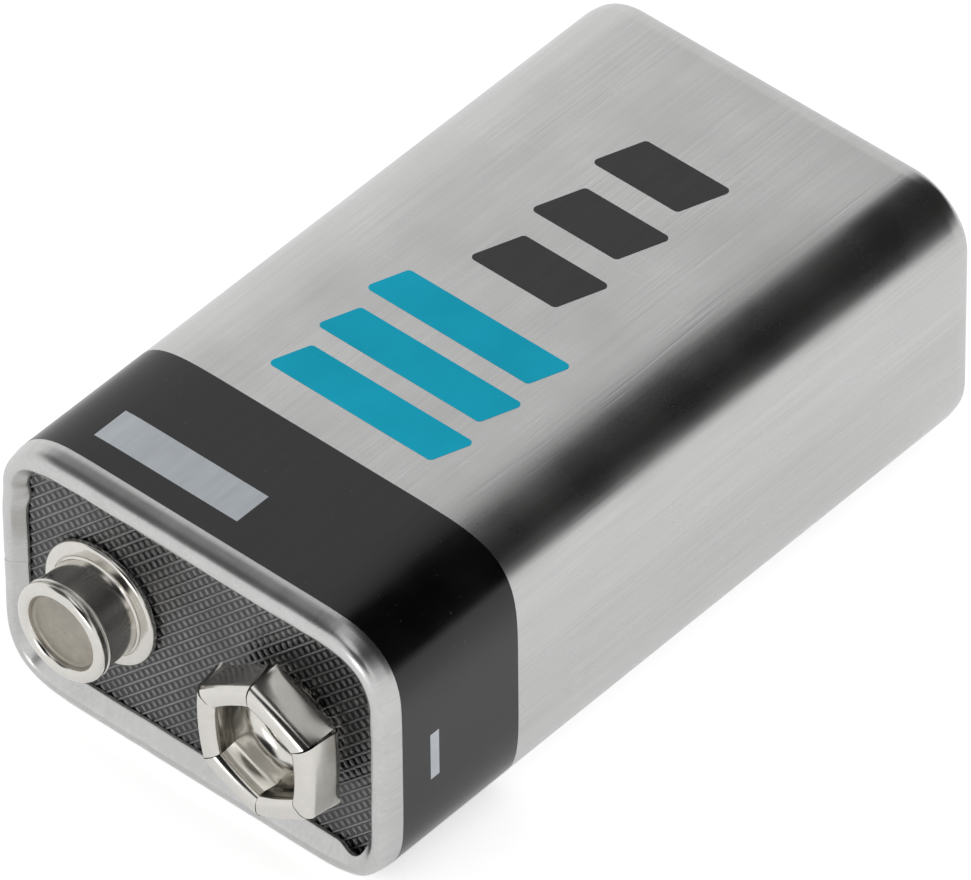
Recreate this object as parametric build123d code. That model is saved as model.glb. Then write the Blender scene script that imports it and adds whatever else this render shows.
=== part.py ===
from build123d import *
import math
import os

# Nine volt snap battery, lying on a broad face. The terminals face -Y, the positive stud is at -X
# and the negative socket at +X. The origin is under the middle of the whole length, on the resting face.
# All sizes are in millimetres.

# Overall sizes
overall_length = 46.8
thickness = 16.4
corner_radius = 3.8
terminal_pitch = 12.7
side_margin = 2.71
terminal_reach = 2.5

# Small roundings are cut in facets: the largest turn of one facet, and the count across a whole roll
facet_angle = 45.0
roll_facets = 6

# Jacket: one sheet, rolled over both end plates, with a butt seam down the positive side
jacket_wall = 0.25
front_roll_radius = 0.85
base_roll_radius = 0.8
seam_gap = 0.08

# End plates
plate_thickness = 1.0
base_plate_thickness = 0.9
plate_clearance = 0.1
base_panel_inset = 3.0
base_panel_depth = 0.25

# Positive stud
flange_radius = 3.64
flange_thickness = 0.55
flange_groove_width = 0.18
flange_groove_depth = 0.2
foot_ring_width = 0.22
neck_radius = 2.74
head_radius = 2.9
head_thickness = 0.72
head_bevel = 0.16
recess_radius = 2.1
recess_depth = 0.55
stud_sheet = 0.3

# Negative socket
petal_count = 6
socket_across_flats = 7.6
throat_across_flats = 5.0
belly_across_flats = 5.86
belly_share = 0.45
crown_fillet = 0.38
skirt_length = 2.3
skirt_flare = 0.08
petal_bow_radius = 11.0
petal_facet_angle = 8.0
petal_slit = 0.12
socket_sheet = 0.25
socket_base_radius = 2.7

# Rivets that hold the terminals
rivet_shank_radius = 1.6
rivet_bore_radius = 1.1
rivet_head_radius = 2.1
rivet_head_thickness = 0.35
rivet_tail_radius = 2.3
rivet_tail_thickness = 0.35
rivet_clearance = 0.05

# Leads and links
strap_thickness = 0.2
lead_width = 4.8
link_width = 3.0
link_overlap = 1.8
lead_room = 0.7

# Cells, liner and cards
liner_thickness = 0.12
liner_clearance = 0.05
cell_gap = 0.06
cell_pip_radius = 1.9
cell_pip_height = 0.9
card_thickness = 0.3
card_clearance = 0.15
card_notch_clearance = 0.25

# Print on the jacket, in thin coats set flush in its skin
coat_thickness = 0.06
band_setback = 1.45
band_length = 8.45
panel_width = 9.4
panel_length = 2.3
panel_setback = 1.5
panel_offset = -4.0
mark_length = 3.0
mark_width = 0.63
mark_setback = 2.0
minus_height_offset = -0.5
plus_height_offset = 3.4
bar_slant = 20.0
cyan_bar_width = 11.6
cyan_bar_length = 2.4
cyan_bar_pitch = 3.6
cyan_bar_count = 3
dark_bar_width = 6.8
dark_bar_length = 3.0
dark_bar_pitch = 4.6
bar_margin = 2.4
bar_group_gap = 2.6

# Places worked out from the sizes above
jacket_width = terminal_pitch + 2 * (flange_radius + side_margin)
mid_height = thickness / 2
tip_y = -overall_length / 2
rim_y = tip_y + terminal_reach
base_y = overall_length / 2
plate_face_y = rim_y + front_roll_radius
plate_back_y = plate_face_y + plate_thickness
base_plate_face_y = base_y - base_roll_radius
base_plate_back_y = base_plate_face_y - base_plate_thickness
terminal_height = plate_face_y - tip_y
rivet_tail_y = plate_back_y + strap_thickness + rivet_tail_thickness
cell_front_y = rivet_tail_y + card_thickness + strap_thickness
base_card_y = base_plate_back_y - card_thickness
cell_back_y = base_card_y - strap_thickness
cell_length = cell_back_y - cell_front_y
liner_setback = jacket_wall + liner_clearance
pack_setback = liner_setback + liner_thickness + liner_clearance
pack_width = jacket_width - 2 * pack_setback
pack_thickness = thickness - 2 * pack_setback
cell_diameter = min(pack_thickness / 2, pack_width / 3) - cell_gap
column_pitch = cell_diameter + cell_gap
row_pitch = cell_diameter + cell_gap
band_start_y = rim_y + band_setback
band_end_y = band_start_y + band_length


def arc_points(centre, start, turn, facets):
    """Points along an arc that begins at the start vector from its centre, cut in equal facets."""
    steps = [start.rotate(Axis.Z, turn * i / facets) for i in range(facets + 1)]
    return [(centre.X + step.X, centre.Y + step.Y) for step in steps]


def soften(corners):
    """Points through (x, y, corner radius) corners, each rounding cut in short straight facets."""
    points = []
    for i, (x, y, radius) in enumerate(corners):
        if radius == 0:
            points.append((x, y))
            continue
        corner = Vector(x, y)
        after_x, after_y, _ = corners[(i + 1) % len(corners)]
        before = (Vector(corners[i - 1][0], corners[i - 1][1]) - corner).normalized()
        after = (Vector(after_x, after_y) - corner).normalized()
        opening = math.radians(before.get_angle(after))
        centre = corner + (before + after).normalized() * (radius / math.sin(opening / 2))
        start = corner + before * (radius / math.tan(opening / 2)) - centre
        turn = 180 - math.degrees(opening)
        facets = math.ceil(turn / facet_angle - 0.01)
        points += arc_points(centre, start, math.copysign(turn, after.cross(before).Z), facets)
    return points


def rounded_profile(corners):
    """Closed face through (x, y, corner radius) corners."""
    return make_face(Polyline(*soften(corners), close=True))


def sheet_profile(points, wall):
    """Closed face of bent sheet whose middle line runs through the points."""
    left = []
    right = []
    for i, point in enumerate(points):
        middle = Vector(*point)
        before = middle - Vector(*points[i - 1]) if i > 0 else Vector(*points[1]) - middle
        after = Vector(*points[i + 1]) - middle if i < len(points) - 1 else before
        along = (before.normalized() + after.normalized()).normalized()
        half_turn_angle = math.radians(before.get_angle(after)) / 2
        across = Vector(-along.Y, along.X) * (wall / 2 / math.cos(half_turn_angle))
        left.append(middle + across)
        right.append(middle - across)
    return make_face(Polyline(*left, *reversed(right), close=True))


def block(x0, x1, y0, y1, z0, z1):
    """Plain block between two corners."""
    return Pos((x0 + x1) / 2, (y0 + y1) / 2, (z0 + z1) / 2) * Box(x1 - x0, y1 - y0, z1 - z0)


def carry_round(section):
    """Ring made of a wall section carried round the jacket's outline.

    The section is drawn at the middle of the +X side: x is 0 on the outside and negative inward,
    and y runs along the battery.
    """
    half_x = jacket_width / 2
    half_z = thickness / 2
    flat_x = half_x - corner_radius
    flat_z = half_z - corner_radius
    side = Pos(half_x, 0, -flat_z) * extrude(section, 2 * flat_z, dir=(0, 0, 1))
    face = Rot(0, -90, 0) * (Pos(half_z, 0, -flat_x) * extrude(section, 2 * flat_x, dir=(0, 0, 1)))
    corner = revolve(Pos(corner_radius, 0, 0) * section, Axis.Y, 90)
    pieces = [side, Rot(0, 180, 0) * side, face, Rot(0, 180, 0) * face]
    quarters = [(0, 1, -1), (90, -1, -1), (180, -1, 1), (270, 1, 1)]
    for turn, side_x, side_z in quarters:
        pieces.append(Pos(side_x * flat_x, 0, side_z * flat_z) * Rot(0, turn, 0) * corner)
    ring = pieces[0].fuse(*pieces[1:])
    return Pos(0, 0, mid_height) * ring.clean()


def wall_section(setback, wall, y0, y1):
    """Straight stretch of a ring's wall, set back from the jacket's outside."""
    return Pos(-setback - wall / 2, (y0 + y1) / 2) * Rectangle(wall, y1 - y0)


def roll_section(radius, y, outward):
    """Half ring of rolled sheet at an end of the jacket; outward is -1 at the front and 1 at the base."""
    centre = Vector(-radius, y)
    outside = arc_points(centre, Vector(radius, 0), 180 * outward, roll_facets)
    inside = arc_points(centre, Vector(radius - jacket_wall, 0), 180 * outward, roll_facets // 2)
    return make_face(Polyline(*outside, *reversed(inside), close=True))


def card_outline(setback):
    """Rounded rectangle inside the jacket, at the given depth below its outside."""
    return RectangleRounded(jacket_width - 2 * setback, thickness - 2 * setback, corner_radius - setback)


def card(setback, y0, y1):
    """Flat card or plate that fills the jacket's section from y0 to y1."""
    return Pos(0, y1, mid_height) * Rot(90, 0, 0) * extrude(card_outline(setback), y1 - y0, dir=(0, 0, 1))


def on_plate(shape, x):
    """Stand a shape, built along +Z, on the terminal plate's face at x."""
    return Pos(x, plate_face_y, mid_height) * Rot(90, 0, 0) * shape


def spin(section):
    """Turn a section drawn as (radius, height) about the height axis."""
    return revolve(Rot(90, 0, 0) * section, Axis.Z)


def print_areas():
    """Blocks, one coat deep, where the panel, the marks and the bars are printed."""
    skin = coat_thickness
    top = thickness
    side = jacket_width / 2
    panel_y = band_start_y + panel_setback
    mark_y = band_start_y + mark_setback
    mark_mid_y = mark_y + mark_width / 2
    minus_z = mid_height + minus_height_offset
    plus_z = mid_height + plus_height_offset
    half = mark_length / 2
    arm = mark_width / 2
    panel_x = panel_offset - panel_width / 2
    panel = block(panel_x, panel_x + panel_width, panel_y, panel_y + panel_length, top - skin, top)
    minus = block(side - skin, side, mark_mid_y - arm, mark_mid_y + arm, minus_z - half, minus_z + half)
    plus = block(-side, -side + skin, mark_mid_y - arm, mark_mid_y + arm, plus_z - half, plus_z + half)
    plus += block(-side, -side + skin, mark_mid_y - half, mark_mid_y + half, plus_z - arm, plus_z + arm)
    return {"blank_panel": panel, "minus_mark": minus, "plus_mark": plus.clean()}


def slanted_bar(width, length, y):
    """One slanted bar printed on the top face, centred on the jacket, starting at y."""
    lean = length * math.tan(math.radians(bar_slant))
    half = width / 2
    outline = [(-half, 0, 0), (half - lean, 0, 0), (half, length, 0), (-half + lean, length, 0)]
    bar = extrude(rounded_profile(outline), coat_thickness, dir=(0, 0, 1))
    return Pos(0, y, thickness - coat_thickness) * bar


def bar_row(width, length, pitch, start, count):
    """Row of equal slanted bars along the battery."""
    bars = [slanted_bar(width, length, start + i * pitch) for i in range(count)]
    return Compound(children=bars)


def bar_areas():
    """Rows of plain slanted bars: cyan ones near the band, then dark ones towards the base."""
    cyan_start = band_end_y + bar_margin
    cyan_end = cyan_start + (cyan_bar_count - 1) * cyan_bar_pitch + cyan_bar_length
    dark_start = cyan_end + bar_group_gap
    room = base_plate_face_y - bar_margin - dark_bar_length - dark_start
    dark_count = int(room // dark_bar_pitch) + 1
    return {
        "cyan_bars": bar_row(cyan_bar_width, cyan_bar_length, cyan_bar_pitch, cyan_start, cyan_bar_count),
        "dark_bars": bar_row(dark_bar_width, dark_bar_length, dark_bar_pitch, dark_start, dark_count),
    }


def seam_cut():
    """Thin slot down the middle of the positive narrow side, where the sheet's edges meet."""
    depth = 2 * max(front_roll_radius, base_roll_radius) + jacket_wall
    side = -jacket_width / 2
    half = seam_gap / 2
    return block(side - 1, side + depth, rim_y - 1, base_y + 1, mid_height - half, mid_height + half)


def make_jacket(prints):
    """Rolled steel jacket with shallow pockets for the print."""
    section = wall_section(0, jacket_wall, plate_face_y, base_plate_face_y)
    section += roll_section(front_roll_radius, plate_face_y, -1)
    section += roll_section(base_roll_radius, base_plate_face_y, 1)
    section -= wall_section(0, coat_thickness, band_start_y, band_end_y)
    jacket = carry_round(section) - seam_cut()
    for area in prints:
        jacket -= area
    return jacket


def make_band(prints):
    """Black print band round the terminal end, open where the panel and the marks are."""
    band = carry_round(wall_section(0, coat_thickness, band_start_y, band_end_y)) - seam_cut()
    for area in prints:
        band -= area
    return band


def make_terminal_plate():
    """Board with a hole for each rivet, held by the rolled rim."""
    plate = card(jacket_wall + plate_clearance, plate_face_y, plate_back_y)
    hole = Cylinder(rivet_shank_radius + rivet_clearance, 4 * plate_thickness)
    for x in (-terminal_pitch / 2, terminal_pitch / 2):
        plate -= on_plate(hole, x)
    return plate


def make_base_plate():
    """Moulded plate at the base, with a shallow panel sunk in its outer face."""
    plate = card(jacket_wall + plate_clearance, base_plate_back_y, base_plate_face_y)
    panel = card(base_panel_inset, base_plate_face_y - base_panel_depth, base_plate_face_y)
    return plate - panel


def make_stud():
    """Drawn snap stud: base washer, rolled flange, hollow neck, head ring and recessed top."""
    eye = rivet_shank_radius + rivet_clearance
    inner = neck_radius - stud_sheet
    top = terminal_height
    floor = top - recess_depth
    head_foot = top - head_thickness
    groove_out = flange_radius - flange_thickness / 2 - (flange_radius - neck_radius) / 4
    foot_out = neck_radius + foot_ring_width
    edge = 0.45 * flange_thickness
    lip = (head_radius - recess_radius) / 4
    outline = [
        (0, floor, 0),
        (0, floor - stud_sheet, 0),
        (inner, floor - stud_sheet, 0),
        (inner, stud_sheet, 0),
        (eye, stud_sheet, 0),
        (eye, 0, 0),
        (flange_radius - edge, 0, 0),
        (flange_radius, edge, 0),
        (flange_radius, flange_thickness, edge),
        (foot_out + flange_groove_width / 2, flange_thickness - flange_groove_depth, 0),
        (foot_out, flange_thickness - flange_groove_depth / 2, 0),
        (neck_radius, flange_thickness, 0),
        (neck_radius, head_foot, 0),
        (head_radius, head_foot + head_bevel, 0),
        (head_radius, top - lip, 0),
        (head_radius - lip, top, 0),
        (recess_radius + lip, top, 0),
        (recess_radius, top - lip, 0),
        (recess_radius, floor, 0),
    ]
    return on_plate(spin(rounded_profile(outline)), -terminal_pitch / 2)


def petal_path():
    """Middle line of one petal's sheet, as (distance from the axis, height)."""
    half = socket_sheet / 2
    base = half
    crown = terminal_height - half
    throat = throat_across_flats / 2 + half
    belly = belly_across_flats / 2 + half
    outer = socket_across_flats / 2 - half
    corners = [
        (rivet_head_radius, base, 0),
        (belly - socket_sheet, base, socket_sheet),
        (belly, terminal_height * belly_share, 0),
        (throat, crown - crown_fillet - half, 0),
        (throat, crown, crown_fillet),
        (outer, crown, crown_fillet),
        (outer + skirt_flare, terminal_height - skirt_length, 0),
    ]
    return soften(corners)


def upright_wedge(tip, reach, opening):
    """Upright wedge with its edge at x = tip, widening by the opening angle as far as x = reach."""
    spread = (reach - tip) * math.tan(math.radians(opening / 2))
    outline = make_face(Polyline((tip, 0), (reach, -spread), (reach, spread), close=True))
    return extrude(outline, terminal_height + 1, dir=(0, 0, 1))


def make_petal():
    """One petal: bowed along its width in flat facets and mitred at both ends by the slits."""
    pivot = socket_across_flats / 2 - petal_bow_radius
    reach = socket_across_flats
    sheet = Rot(90, 0, 0) * sheet_profile(petal_path(), socket_sheet)
    strip = extrude(sheet, socket_across_flats / 2, dir=(0, 1, 0), both=True)
    facet = Pos(-pivot, 0, 0) * strip & upright_wedge(0, reach - pivot, petal_facet_angle)
    side = Rot(0, 0, petal_facet_angle) * facet
    other_side = Rot(0, 0, -petal_facet_angle) * facet
    bowed = Pos(pivot, 0, 0) * facet.fuse(side, other_side)
    return bowed & upright_wedge(petal_slit, reach, 360 / petal_count)


def make_socket():
    """Pressed snap socket: a base disc that carries six rolled petals."""
    petal = make_petal()
    socket = extrude(Circle(socket_base_radius), socket_sheet, dir=(0, 0, 1))
    petals = [Rot(0, 0, i * 360 / petal_count) * petal for i in range(petal_count)]
    socket = socket.fuse(*petals).clean()
    socket -= Cylinder(rivet_shank_radius + rivet_clearance, 4 * socket_sheet)
    return on_plate(socket, terminal_pitch / 2)


def make_rivet(x, washer):
    """Rivet through a terminal's washer, the plate and a lead, with a tubular tail flared behind."""
    tail = -plate_thickness - strap_thickness
    end = tail - rivet_tail_thickness
    head = washer + rivet_head_thickness
    wall = rivet_shank_radius - rivet_bore_radius
    outline = [
        (0, head, 0),
        (rivet_head_radius - rivet_head_thickness / 2, head, 0),
        (rivet_head_radius, head - rivet_head_thickness / 2, 0),
        (rivet_head_radius, washer, 0),
        (rivet_shank_radius, washer, 0),
        (rivet_shank_radius, tail, 0),
        (rivet_tail_radius, tail, 0),
        (rivet_tail_radius, end, 0),
        (rivet_bore_radius, end, 0),
        (rivet_bore_radius, washer - wall, 0),
        (0, washer - wall, 0),
    ]
    return on_plate(spin(rounded_profile(outline)), x)


def make_positive_lead():
    """Folded strap from the positive rivet to the first cell, bent back on itself above the stud."""
    fold = (cell_front_y - plate_back_y) / 2
    x = -terminal_pitch / 2
    bend_z = thickness - pack_setback - lead_room - fold
    pad_z = mid_height - lead_width / 2
    foot_z = mid_height + row_pitch / 2 - cell_pip_radius
    middle_y = plate_back_y + fold
    half_strap = strap_thickness / 2
    loop = Circle(fold) - Circle(fold - strap_thickness)
    bend = Pos(middle_y, bend_z) * (loop & (Pos(0, fold / 2) * Rectangle(2 * fold, fold)))
    pad = Rectangle(strap_thickness, bend_z - pad_z)
    pad = Pos(plate_back_y + half_strap, (pad_z + bend_z) / 2) * pad
    foot = Rectangle(strap_thickness, bend_z - foot_z)
    foot = Pos(cell_front_y - half_strap, (foot_z + bend_z) / 2) * foot
    strip = extrude(bend + pad + foot, lead_width, dir=(0, 0, 1))
    strap = Pos(x - lead_width / 2, 0, 0) * (Plane.YZ * strip)
    hole = Cylinder(rivet_shank_radius + rivet_clearance, plate_thickness)
    return strap - Pos(x, plate_back_y, mid_height) * Rot(90, 0, 0) * hole


def half_turn(shape):
    """Turn a shape half round about the battery's long middle line."""
    return Pos(0, 0, mid_height) * Rot(0, 180, 0) * Pos(0, 0, -mid_height) * shape


def cell_places():
    """Cells in the order of the chain, as (column, row, 1 where the positive end faces the terminals)."""
    return [(-1, 1, 1), (-1, -1, 0), (0, -1, 1), (0, 1, 0), (1, 1, 1), (1, -1, 0)]


def make_cell():
    """Sealed can with a positive pip at the top and a flat negative end at the foot."""
    radius = cell_diameter / 2
    shoulder = cell_length - cell_pip_height
    outline = [
        (0, 0, 0),
        (radius, 0, 0),
        (radius, shoulder, 0),
        (cell_pip_radius, shoulder, 0),
        (cell_pip_radius, cell_length, 0),
        (0, cell_length, 0),
    ]
    return spin(rounded_profile(outline))


def place_cell(cell, column, row, forward):
    """Put a cell in its column and row, with its positive end at the front or at the base."""
    x = column * column_pitch
    z = mid_height + row * row_pitch / 2
    if forward:
        return Pos(x, cell_back_y, z) * Rot(90, 0, 0) * cell
    return Pos(x, cell_front_y, z) * Rot(-90, 0, 0) * cell


def make_link(first, second, y):
    """Flat strap across the ends of two neighbouring cells, its low face at y."""
    x0, x1 = sorted((first[0] * column_pitch, second[0] * column_pitch))
    z0, z1 = sorted((first[1] * row_pitch / 2, second[1] * row_pitch / 2))
    grow_x = link_overlap if x1 > x0 else link_width / 2
    grow_z = link_overlap if z1 > z0 else link_width / 2
    z0 += mid_height
    z1 += mid_height
    return block(x0 - grow_x, x1 + grow_x, y, y + strap_thickness, z0 - grow_z, z1 + grow_z)


def make_front_card():
    """Insulating card between the rivets and the links, notched where the leads fold past it."""
    y0 = rivet_tail_y
    y1 = rivet_tail_y + card_thickness
    front_card = card(pack_setback + card_clearance, y0, y1)
    fold = (cell_front_y - plate_back_y) / 2
    notch_z = thickness - pack_setback - lead_room - fold - card_notch_clearance
    x0 = -terminal_pitch / 2 - lead_width / 2 - card_notch_clearance
    x1 = -terminal_pitch / 2 + lead_width / 2 + card_notch_clearance
    notch = block(x0, x1, y0 - 1, y1 + 1, notch_z, thickness)
    return front_card - notch - half_turn(notch)


def build():
    """All pieces, as node name to solid."""
    marks = print_areas()
    bars = bar_areas()
    printed = list(marks.values()) + list(bars.values())
    lead = make_positive_lead()
    cell = make_cell()
    places = cell_places()
    nodes = {
        "jacket": make_jacket(printed),
        "black_band": make_band(marks.values()),
        "terminal_plate": make_terminal_plate(),
        "base_plate": make_base_plate(),
        "positive_stud": make_stud(),
        "negative_socket": make_socket(),
        "positive_rivet": make_rivet(-terminal_pitch / 2, stud_sheet),
        "negative_rivet": make_rivet(terminal_pitch / 2, socket_sheet),
        "positive_lead": lead,
        "negative_lead": half_turn(lead),
        "front_card": make_front_card(),
        "base_card": card(pack_setback + card_clearance, base_card_y, base_plate_back_y),
        "cell_liner": carry_round(wall_section(liner_setback, liner_thickness, rivet_tail_y, base_card_y)),
    }
    nodes.update(marks)
    nodes.update(bars)
    for number, (column, row, forward) in enumerate(places, start=1):
        nodes[f"cell_{number}"] = place_cell(cell, column, row, forward)
    link_rows = {
        "front_link": ((1, 3), cell_front_y - strap_thickness),
        "base_link": ((0, 2, 4), cell_back_y),
    }
    for link_name, (firsts, link_y) in link_rows.items():
        for number, first in enumerate(firsts, start=1):
            nodes[f"{link_name}_{number}"] = make_link(places[first], places[first + 1], link_y)
    return nodes


os.makedirs("parts", exist_ok=True)
for node_name, node_shape in build().items():
    export_step(node_shape, f"parts/{node_name}.step")
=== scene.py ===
import logging
import math
import random
from dataclasses import dataclass, field
from enum import Enum
from typing import Callable, Iterable, Sequence

import bpy
from mathutils import Matrix, Vector


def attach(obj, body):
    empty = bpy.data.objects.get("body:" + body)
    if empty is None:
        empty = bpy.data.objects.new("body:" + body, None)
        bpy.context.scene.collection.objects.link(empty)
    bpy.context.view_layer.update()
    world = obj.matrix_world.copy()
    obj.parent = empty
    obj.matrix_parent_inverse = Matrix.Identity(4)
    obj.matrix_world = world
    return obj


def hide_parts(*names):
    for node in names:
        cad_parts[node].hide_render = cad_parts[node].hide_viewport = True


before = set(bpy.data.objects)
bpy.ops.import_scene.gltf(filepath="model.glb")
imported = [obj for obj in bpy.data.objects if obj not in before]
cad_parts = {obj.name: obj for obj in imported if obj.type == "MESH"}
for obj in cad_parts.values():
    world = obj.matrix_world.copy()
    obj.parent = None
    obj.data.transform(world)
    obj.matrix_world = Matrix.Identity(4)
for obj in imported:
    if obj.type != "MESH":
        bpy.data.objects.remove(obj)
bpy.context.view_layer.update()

# Looks of a nine volt snap battery that lies on a broad face. Sizes in this file are in millimetres
# unless a name says otherwise; meshes are scaled to metres when they are made.

log = logging.getLogger("battery")

MM = 0.001
PLATE_FACE = -20.05  # place along y of the terminal plate's face
BASE_FACE = 22.6  # and of the base plate's
AXIS_HEIGHT = 8.2  # height of both terminals' axes over the floor
AXIS_X = 6.35  # distance of each from the middle
WHITE = (1.0, 1.0, 1.0, 1.0)

Colour = Point = Corner = tuple[float, float, float]
Flat = tuple[float, float]
Area = tuple[Flat, Flat]
Faces = list[Sequence[int]]
Mesh = tuple[list[Point], Faces]
Plug = bpy.types.NodeSocket


class Slot(Enum):
    """Material slots that the pieces take their finish from."""

    TIN = "tinned_steel"
    BLACK = "black_ink"
    PALE = "pale_ink"
    CYAN = "cyan_ink"
    DARK = "dark_ink"
    BOARD = "black_board"
    PLASTIC = "base_plastic"
    NICKEL = "nickel_plate"
    STRAP = "strap_nickel"
    CAN = "cell_steel"
    CARD = "card_paper"
    FILM = "liner_film"


class Grain(Enum):
    """Fineness, along each axis, of the lines that rolling or turning leaves in a metal."""

    ALONG = (5200.0, 130.0, 5200.0)
    ACROSS = (260.0, 5200.0, 5200.0)
    NONE = (2600.0, 2600.0, 2600.0)


class Nodes:
    """A node tree under construction, with short ways to add to it."""

    def __init__(self, tree: bpy.types.NodeTree) -> None:
        """Take the tree that the nodes go into."""
        self.tree = tree

    def feed(self, socket: Plug, value: object) -> None:
        """Link a socket to another one, or give it a plain value.

        Args:
            socket: The input to feed.
            value: An output of a node, or a value.
        """
        if isinstance(value, Plug):
            self.tree.links.new(value, socket)
        else:
            socket.default_value = value

    def add(self, kind: str, inputs: dict[str | int, object] | None = None,
            **settings: object) -> bpy.types.Node:
        """Add a node.

        Args:
            kind: Type name of the node.
            inputs: Values or sockets for its inputs, by name or number.
            settings: Properties to set on the node first.

        Returns:
            The new node.
        """
        node = self.tree.nodes.new(kind)
        for key, value in settings.items():
            setattr(node, key, value)
        for key, value in (inputs or {}).items():
            self.feed(node.inputs[key], value)
        return node

    def levels(self, value: object, low: float, high: float, to: Flat = (0.0, 1.0)) -> Plug:
        """Stretch a value's range from low..high to the given pair, clamped."""
        return self.add("ShaderNodeMapRange", {0: value, 1: low, 2: high, 3: to[0], 4: to[1]}).outputs[0]

    def sum(self, first: object, second: object, operation: str = "ADD") -> Plug:
        """Combine two values with a math operation."""
        return self.add("ShaderNodeMath", {0: first, 1: second}, operation=operation).outputs[0]

    def times(self, first: object, second: object) -> Plug:
        """Product of two values."""
        return self.sum(first, second, "MULTIPLY")

    def rays(self) -> tuple[Plug, Plug]:
        """Whether a ray comes from the camera, and whether a surface mirrored it or let it through."""
        path = self.add("ShaderNodeLightPath").outputs
        return path["Is Camera Ray"], self.sum(path["Is Glossy Ray"], path["Is Transmission Ray"], "MAXIMUM")


class Surface(Nodes):
    """One material under construction."""

    def __init__(self, name: str, base: Colour, roughness: float) -> None:
        """Start a material.

        Args:
            name: Name of the material.
            base: Linear base colour.
            roughness: Roughness of the shader.
        """
        self.material = bpy.data.materials.new(name)
        self.material.use_nodes = True
        self.material.diffuse_color = (*base, 1.0)
        super().__init__(self.material.node_tree)
        self.shader = self.tree.nodes["Principled BSDF"]
        self.set("Base Color", (*base, 1.0))
        self.set("Roughness", roughness)
        self.place = self.add("ShaderNodeTexCoord").outputs["Object"]

    def set(self, socket: str, value: object) -> None:
        """Link or set one socket of the shader."""
        self.feed(self.shader.inputs[socket], value)

    def noise(self, scale: float | Point, detail: float = 2.0, turn: Point = (0.0, 0.0, 0.0)) -> Plug:
        """Soft noise over the object.

        Args:
            scale: How fine it is, in all directions or along each axis.
            detail: Layers of finer noise in it.
            turn: Angles in degrees by which stretched noise is turned.

        Returns:
            Its value.
        """
        place = self.place
        if isinstance(scale, tuple):
            inputs = {"Vector": place, "Rotation": [math.radians(angle) for angle in turn], "Scale": scale}
            place = self.add("ShaderNodeMapping", inputs).outputs[0]
            scale = 1.0
        return self.add("ShaderNodeTexNoise", {"Vector": place, "Scale": scale, "Detail": detail}).outputs[0]

    def blend(self, factor: object, first: object, second: object) -> Plug:
        """Mix two colours, each a tone or a socket, by a factor."""
        first, second = (part if isinstance(part, Plug) else (*part, 1.0) for part in (first, second))
        return self.add("ShaderNodeMix", {0: factor, 6: first, 7: second}, data_type="RGBA").outputs[2]

    def bump(self, height: Plug, depth: float) -> None:
        """Let a height, worth depth millimetres, tilt the shading."""
        inputs = {"Height": height, "Distance": depth * MM, "Strength": 1.0}
        self.set("Normal", self.add("ShaderNodeBump", inputs).outputs[0])

    def glow(self, strength: object) -> None:
        """Let the surface give off white light and mirror nothing.

        Args:
            strength: How bright it is, as a number or a socket.
        """
        self.set("Specular IOR Level", 0.0)
        self.set("Emission Color", WHITE)
        self.set("Emission Strength", strength)


@dataclass(frozen=True)
class Finish:
    """What every finish has, and how it becomes a material."""

    name: str
    slot: Slot
    tone: Colour
    roughness: float

    def shade(self, factor: float, lift: float = 0.0) -> Colour:
        """The tone, darker or paler by a factor."""
        return tuple(min(1.0, part * factor + lift) for part in self.tone)

    def rough(self, low: float, high: float) -> Flat:
        """Range about the finish's roughness, given as shares of it."""
        return self.roughness * low, self.roughness * high

    def material(self) -> bpy.types.Material:
        """Build the material.

        Returns:
            A material whose colour, roughness and bump come from its own noise.
        """
        surface = Surface(self.name, self.tone, self.roughness)
        self.paint(surface)
        return surface.material

    def paint(self, surface: Surface) -> None:
        """Add the nodes of this kind of finish."""
        raise NotImplementedError


@dataclass(frozen=True)
class BareMetal(Finish):
    """Bare or plated metal with rolling lines, hairline scratches, smudges and worn edges."""

    grain: Grain = Grain.NONE
    streak: float = 0.06
    scratch: float = 0.10
    depth: float = 0.0012
    wear: float = 0.5

    def paint(self, surface: Surface) -> None:
        """Add the metal's lines, marks, smudges and wear.

        Args:
            surface: The material under construction.
        """
        surface.set("Metallic", 1.0)
        fine = surface.noise(self.grain.value, 3.0)
        broad = surface.noise(tuple(part / 9 for part in self.grain.value), 2.0)
        lines = surface.sum(fine, broad)
        smudge = surface.noise(190.0, 4.0)
        nick = surface.levels(surface.noise((260.0, 2400.0, 900.0), 1.0, (0, 0, 27)), 0.70, 0.74)
        hair = surface.levels(surface.noise((3400.0, 90.0, 3400.0), 0.0, (0, 0, -5)), 0.72, 0.76)
        mark = surface.sum(nick, hair, "MAXIMUM")
        streaked = surface.blend(surface.levels(lines, 0.7, 1.3), self.shade(1 - 2 * self.streak), self.tone)
        scratched = surface.blend(surface.times(mark, self.scratch), streaked, self.shade(1.12))
        surface.set("Base Color", scratched)
        cloud = surface.sum(smudge, surface.times(broad, 0.5))
        rough = surface.levels(cloud, 0.45, 1.0, self.rough(0.82, 1.25))
        edge = surface.levels(surface.add("ShaderNodeNewGeometry").outputs["Pointiness"], 0.52, 0.60)
        polish = surface.times(edge, self.wear * self.roughness * 0.5)
        surface.set("Roughness", surface.sum(rough, polish, "SUBTRACT"))
        surface.bump(surface.sum(lines, surface.times(mark, 0.6), "SUBTRACT"), self.depth)


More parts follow.
